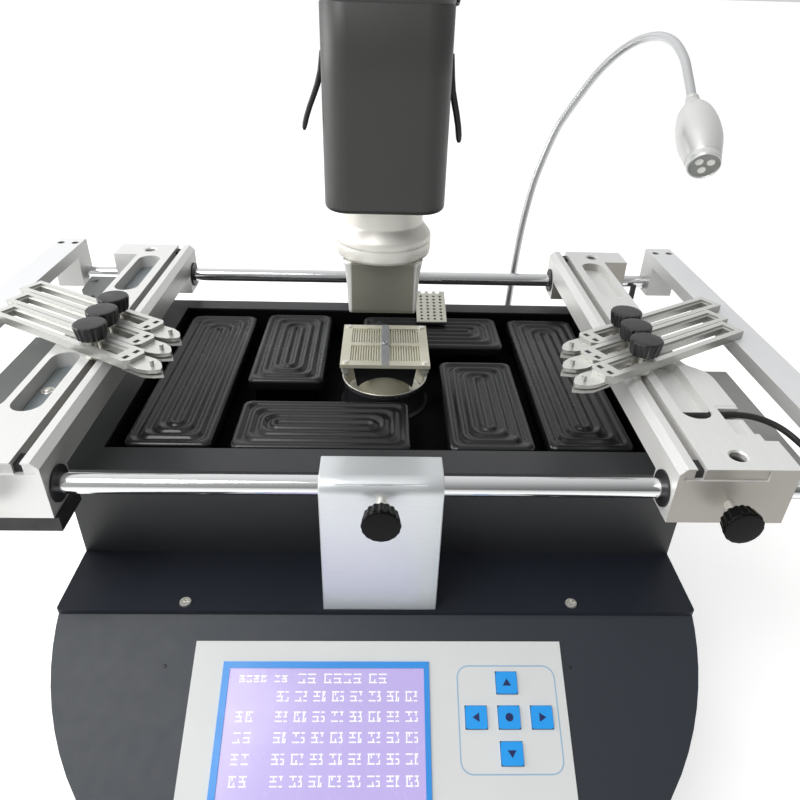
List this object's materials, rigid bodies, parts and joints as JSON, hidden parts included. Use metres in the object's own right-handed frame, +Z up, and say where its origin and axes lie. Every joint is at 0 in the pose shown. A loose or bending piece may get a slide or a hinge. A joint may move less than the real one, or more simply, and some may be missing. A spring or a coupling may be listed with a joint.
{
  "type": "bench rework station",
  "caption": "Bench rework station: recessed ceramic heater deck on a base with sloped control panel, sliding board table with clamping claws, hot-air head over a lower nozzle, gooseneck lamp.",
  "frame": {"origin": "on the floor under the middle of the overall width and depth, the free lead left out", "axes": "+X to the right along the guide rods, +Y to the back, +Z up"},
  "size_m": [0.752, 0.5452, 0.63],
  "materials": {
    "base_paint": "satin",
    "lid_paint": "satin",
    "rubber": "matte",
    "label": "satin",
    "display_frame": "gloss",
    "display_screen": "gloss",
    "keys": "satin",
    "screw_steel": "satin",
    "deck_paint": "satin",
    "ceramic": "glazed ceramic, semi-gloss",
    "cup_steel": "satin",
    "duct": "matte",
    "plate_steel": "satin",
    "bracket_alu": "satin",
    "rod_chrome": "polished",
    "bar_alu": "satin",
    "slide_alu": "satin",
    "black_plastic": "matte",
    "wing_grey": "satin",
    "claw_steel": "satin",
    "column_alu": "satin",
    "head_paint": "satin powder coat",
    "neck_steel": "satin",
    "lever_black": "satin",
    "arm_paint": "satin",
    "nozzle_steel": "satin",
    "outlet_steel": "satin",
    "gooseneck": "satin",
    "lamp_silver": "satin",
    "lens": "clear",
    "knob_black": "satin",
    "lead": "matte"
  },
  "bodies": {
    "base": {"base_shell": "base_paint", "base_lid": "lid_paint", "feet": "rubber", "panel_label": "label", "display_frame": "display_frame", "display_screen": "display_screen", "screws": "screw_steel", "deck_box": "deck_paint", "heaters_long": "ceramic", "heaters_short": "ceramic", "lower_cup": "cup_steel", "lower_duct": "duct", "lower_nozzle": "plate_steel", "bracket_front": "bracket_alu", "bracket_rear": "bracket_alu", "column": "column_alu", "cooling_outlet": "outlet_steel", "gooseneck": "gooseneck", "lamp": "lamp_silver", "lamp_lens": "lens", "power_inlet": "black_plastic"},
    "table": {"rod_front": "rod_chrome", "rod_rear": "rod_chrome", "end_bar_left": "bar_alu", "end_bar_right": "bar_alu"},
    "left_slide": {"slide_left": "slide_alu", "bushings_left": "black_plastic", "wing_left": "wing_grey"},
    "right_slide": {"slide_right": "slide_alu", "bushings_right": "black_plastic", "wing_right": "wing_grey", "lead": "lead", "lead_coil": "lead", "lead_plug": "lead"},
    "hot_air_head": {"head": "head_paint", "head_neck": "neck_steel", "head_levers": "lever_black", "head_arm": "arm_paint"},
    "hot_air_nozzle": {"nozzle_upper": "nozzle_steel"},
    "key_up_body": {"key_up": "keys"},
    "key_down_body": {"key_down": "keys"},
    "key_left_body": {"key_left": "keys"},
    "key_right_body": {"key_right": "keys"},
    "key_enter_body": {"key_enter": "keys"},
    "bracket_knob_body": {"bracket_knob": "knob_black"},
    "knob_left_body": {"knob_left": "knob_black"},
    "knob_right_body": {"knob_right": "knob_black"},
    "claw_l1_body": {"claw_l1": "claw_steel"},
    "claw_l2_body": {"claw_l2": "claw_steel"},
    "claw_l3_body": {"claw_l3": "claw_steel"},
    "claw_r1_body": {"claw_r1": "claw_steel"},
    "claw_r2_body": {"claw_r2": "claw_steel"},
    "claw_r3_body": {"claw_r3": "claw_steel"},
    "claw_knob_l1_body": {"claw_knob_l1": "knob_black"},
    "claw_knob_l2_body": {"claw_knob_l2": "knob_black"},
    "claw_knob_l3_body": {"claw_knob_l3": "knob_black"},
    "claw_knob_r1_body": {"claw_knob_r1": "knob_black"},
    "claw_knob_r2_body": {"claw_knob_r2": "knob_black"},
    "claw_knob_r3_body": {"claw_knob_r3": "knob_black"},
    "lift_knob_body": {"lift_knob": "knob_black"}
  },
  "joints": [
    {"name": "table_shift", "type": "slide", "parent": "base", "child": "table", "axis": [1, 0, 0], "range_m": [-0.03, 0.04]},
    {"name": "left_slide_travel", "type": "slide", "parent": "table", "child": "left_slide", "axis": [1, 0, 0], "range_m": [-0.025, 0.06]},
    {"name": "right_slide_travel", "type": "slide", "parent": "table", "child": "right_slide", "axis": [1, 0, 0], "range_m": [-0.06, 0.009]},
    {"name": "bracket_knob_turn", "type": "hinge", "parent": "base", "child": "bracket_knob_body", "pos_m": [0.014, -0.16395, 0.2545], "axis": [0, -1, 0], "continuous": true},
    {"name": "left_knob_turn", "type": "hinge", "parent": "left_slide", "child": "knob_left_body", "pos_m": [-0.203, -0.16295, 0.2545], "axis": [0, -1, 0], "continuous": true},
    {"name": "right_knob_turn", "type": "hinge", "parent": "right_slide", "child": "knob_right_body", "pos_m": [0.2114, -0.16295, 0.2545], "axis": [0, -1, 0], "continuous": true},
    {"name": "claw_l1_reach", "type": "slide", "parent": "left_slide", "child": "claw_l1_body", "axis": [0.8572, -0.515, 0], "range_m": [-0.01, 0.04]},
    {"name": "claw_l1_lock", "type": "hinge", "parent": "left_slide", "child": "claw_knob_l1_body", "pos_m": [-0.182, 0.01455, 0.29], "axis": [0, 0, 1], "continuous": true},
    {"name": "claw_l2_reach", "type": "slide", "parent": "left_slide", "child": "claw_l2_body", "axis": [0.8572, -0.515, 0], "range_m": [-0.01, 0.04]},
    {"name": "claw_l2_lock", "type": "hinge", "parent": "left_slide", "child": "claw_knob_l2_body", "pos_m": [-0.182, -0.00795, 0.29], "axis": [0, 0, 1], "continuous": true},
    {"name": "claw_l3_reach", "type": "slide", "parent": "left_slide", "child": "claw_l3_body", "axis": [0.8572, -0.515, 0], "range_m": [-0.01, 0.04]},
    {"name": "claw_l3_lock", "type": "hinge", "parent": "left_slide", "child": "claw_knob_l3_body", "pos_m": [-0.182, -0.03045, 0.29], "axis": [0, 0, 1], "continuous": true},
    {"name": "claw_r1_reach", "type": "slide", "parent": "right_slide", "child": "claw_r1_body", "axis": [-0.8572, -0.515, 0], "range_m": [-0.01, 0.04]},
    {"name": "claw_r1_lock", "type": "hinge", "parent": "right_slide", "child": "claw_knob_r1_body", "pos_m": [0.1904, 0.00255, 0.29], "axis": [0, 0, 1], "continuous": true},
    {"name": "claw_r2_reach", "type": "slide", "parent": "right_slide", "child": "claw_r2_body", "axis": [-0.8572, -0.515, 0], "range_m": [-0.01, 0.04]},
    {"name": "claw_r2_lock", "type": "hinge", "parent": "right_slide", "child": "claw_knob_r2_body", "pos_m": [0.1904, -0.01995, 0.29], "axis": [0, 0, 1], "continuous": true},
    {"name": "claw_r3_reach", "type": "slide", "parent": "right_slide", "child": "claw_r3_body", "axis": [-0.8572, -0.515, 0], "range_m": [-0.01, 0.04]},
    {"name": "claw_r3_lock", "type": "hinge", "parent": "right_slide", "child": "claw_knob_r3_body", "pos_m": [0.1904, -0.04245, 0.29], "axis": [0, 0, 1], "continuous": true},
    {"name": "head_lift", "type": "slide", "parent": "base", "child": "hot_air_head", "axis": [0, 0, 1], "range_m": [-0.03, 0.04]},
    {"name": "nozzle_turn", "type": "hinge", "parent": "hot_air_head", "child": "hot_air_nozzle", "pos_m": [0.0134, 0.03505, 0.34], "axis": [0, 0, 1], "range_deg": [-90, 90]},
    {"name": "lift_knob_turn", "type": "hinge", "parent": "hot_air_head", "child": "lift_knob_body", "pos_m": [0.056, 0.21605, 0.502], "axis": [1, 0, 0], "continuous": true},
    {"name": "key_up_press", "type": "slide", "parent": "base", "child": "key_up_body", "axis": [0, 0.454, -0.891], "range_m": [0, 0.0008], "stiffness_N_per_m": 600},
    {"name": "key_down_press", "type": "slide", "parent": "base", "child": "key_down_body", "axis": [0, 0.454, -0.891], "range_m": [0, 0.0008], "stiffness_N_per_m": 600},
    {"name": "key_left_press", "type": "slide", "parent": "base", "child": "key_left_body", "axis": [0, 0.454, -0.891], "range_m": [0, 0.0008], "stiffness_N_per_m": 600},
    {"name": "key_right_press", "type": "slide", "parent": "base", "child": "key_right_body", "axis": [0, 0.454, -0.891], "range_m": [0, 0.0008], "stiffness_N_per_m": 600},
    {"name": "key_enter_press", "type": "slide", "parent": "base", "child": "key_enter_body", "axis": [0, 0.454, -0.891], "range_m": [0, 0.0008], "stiffness_N_per_m": 600}
  ]
}
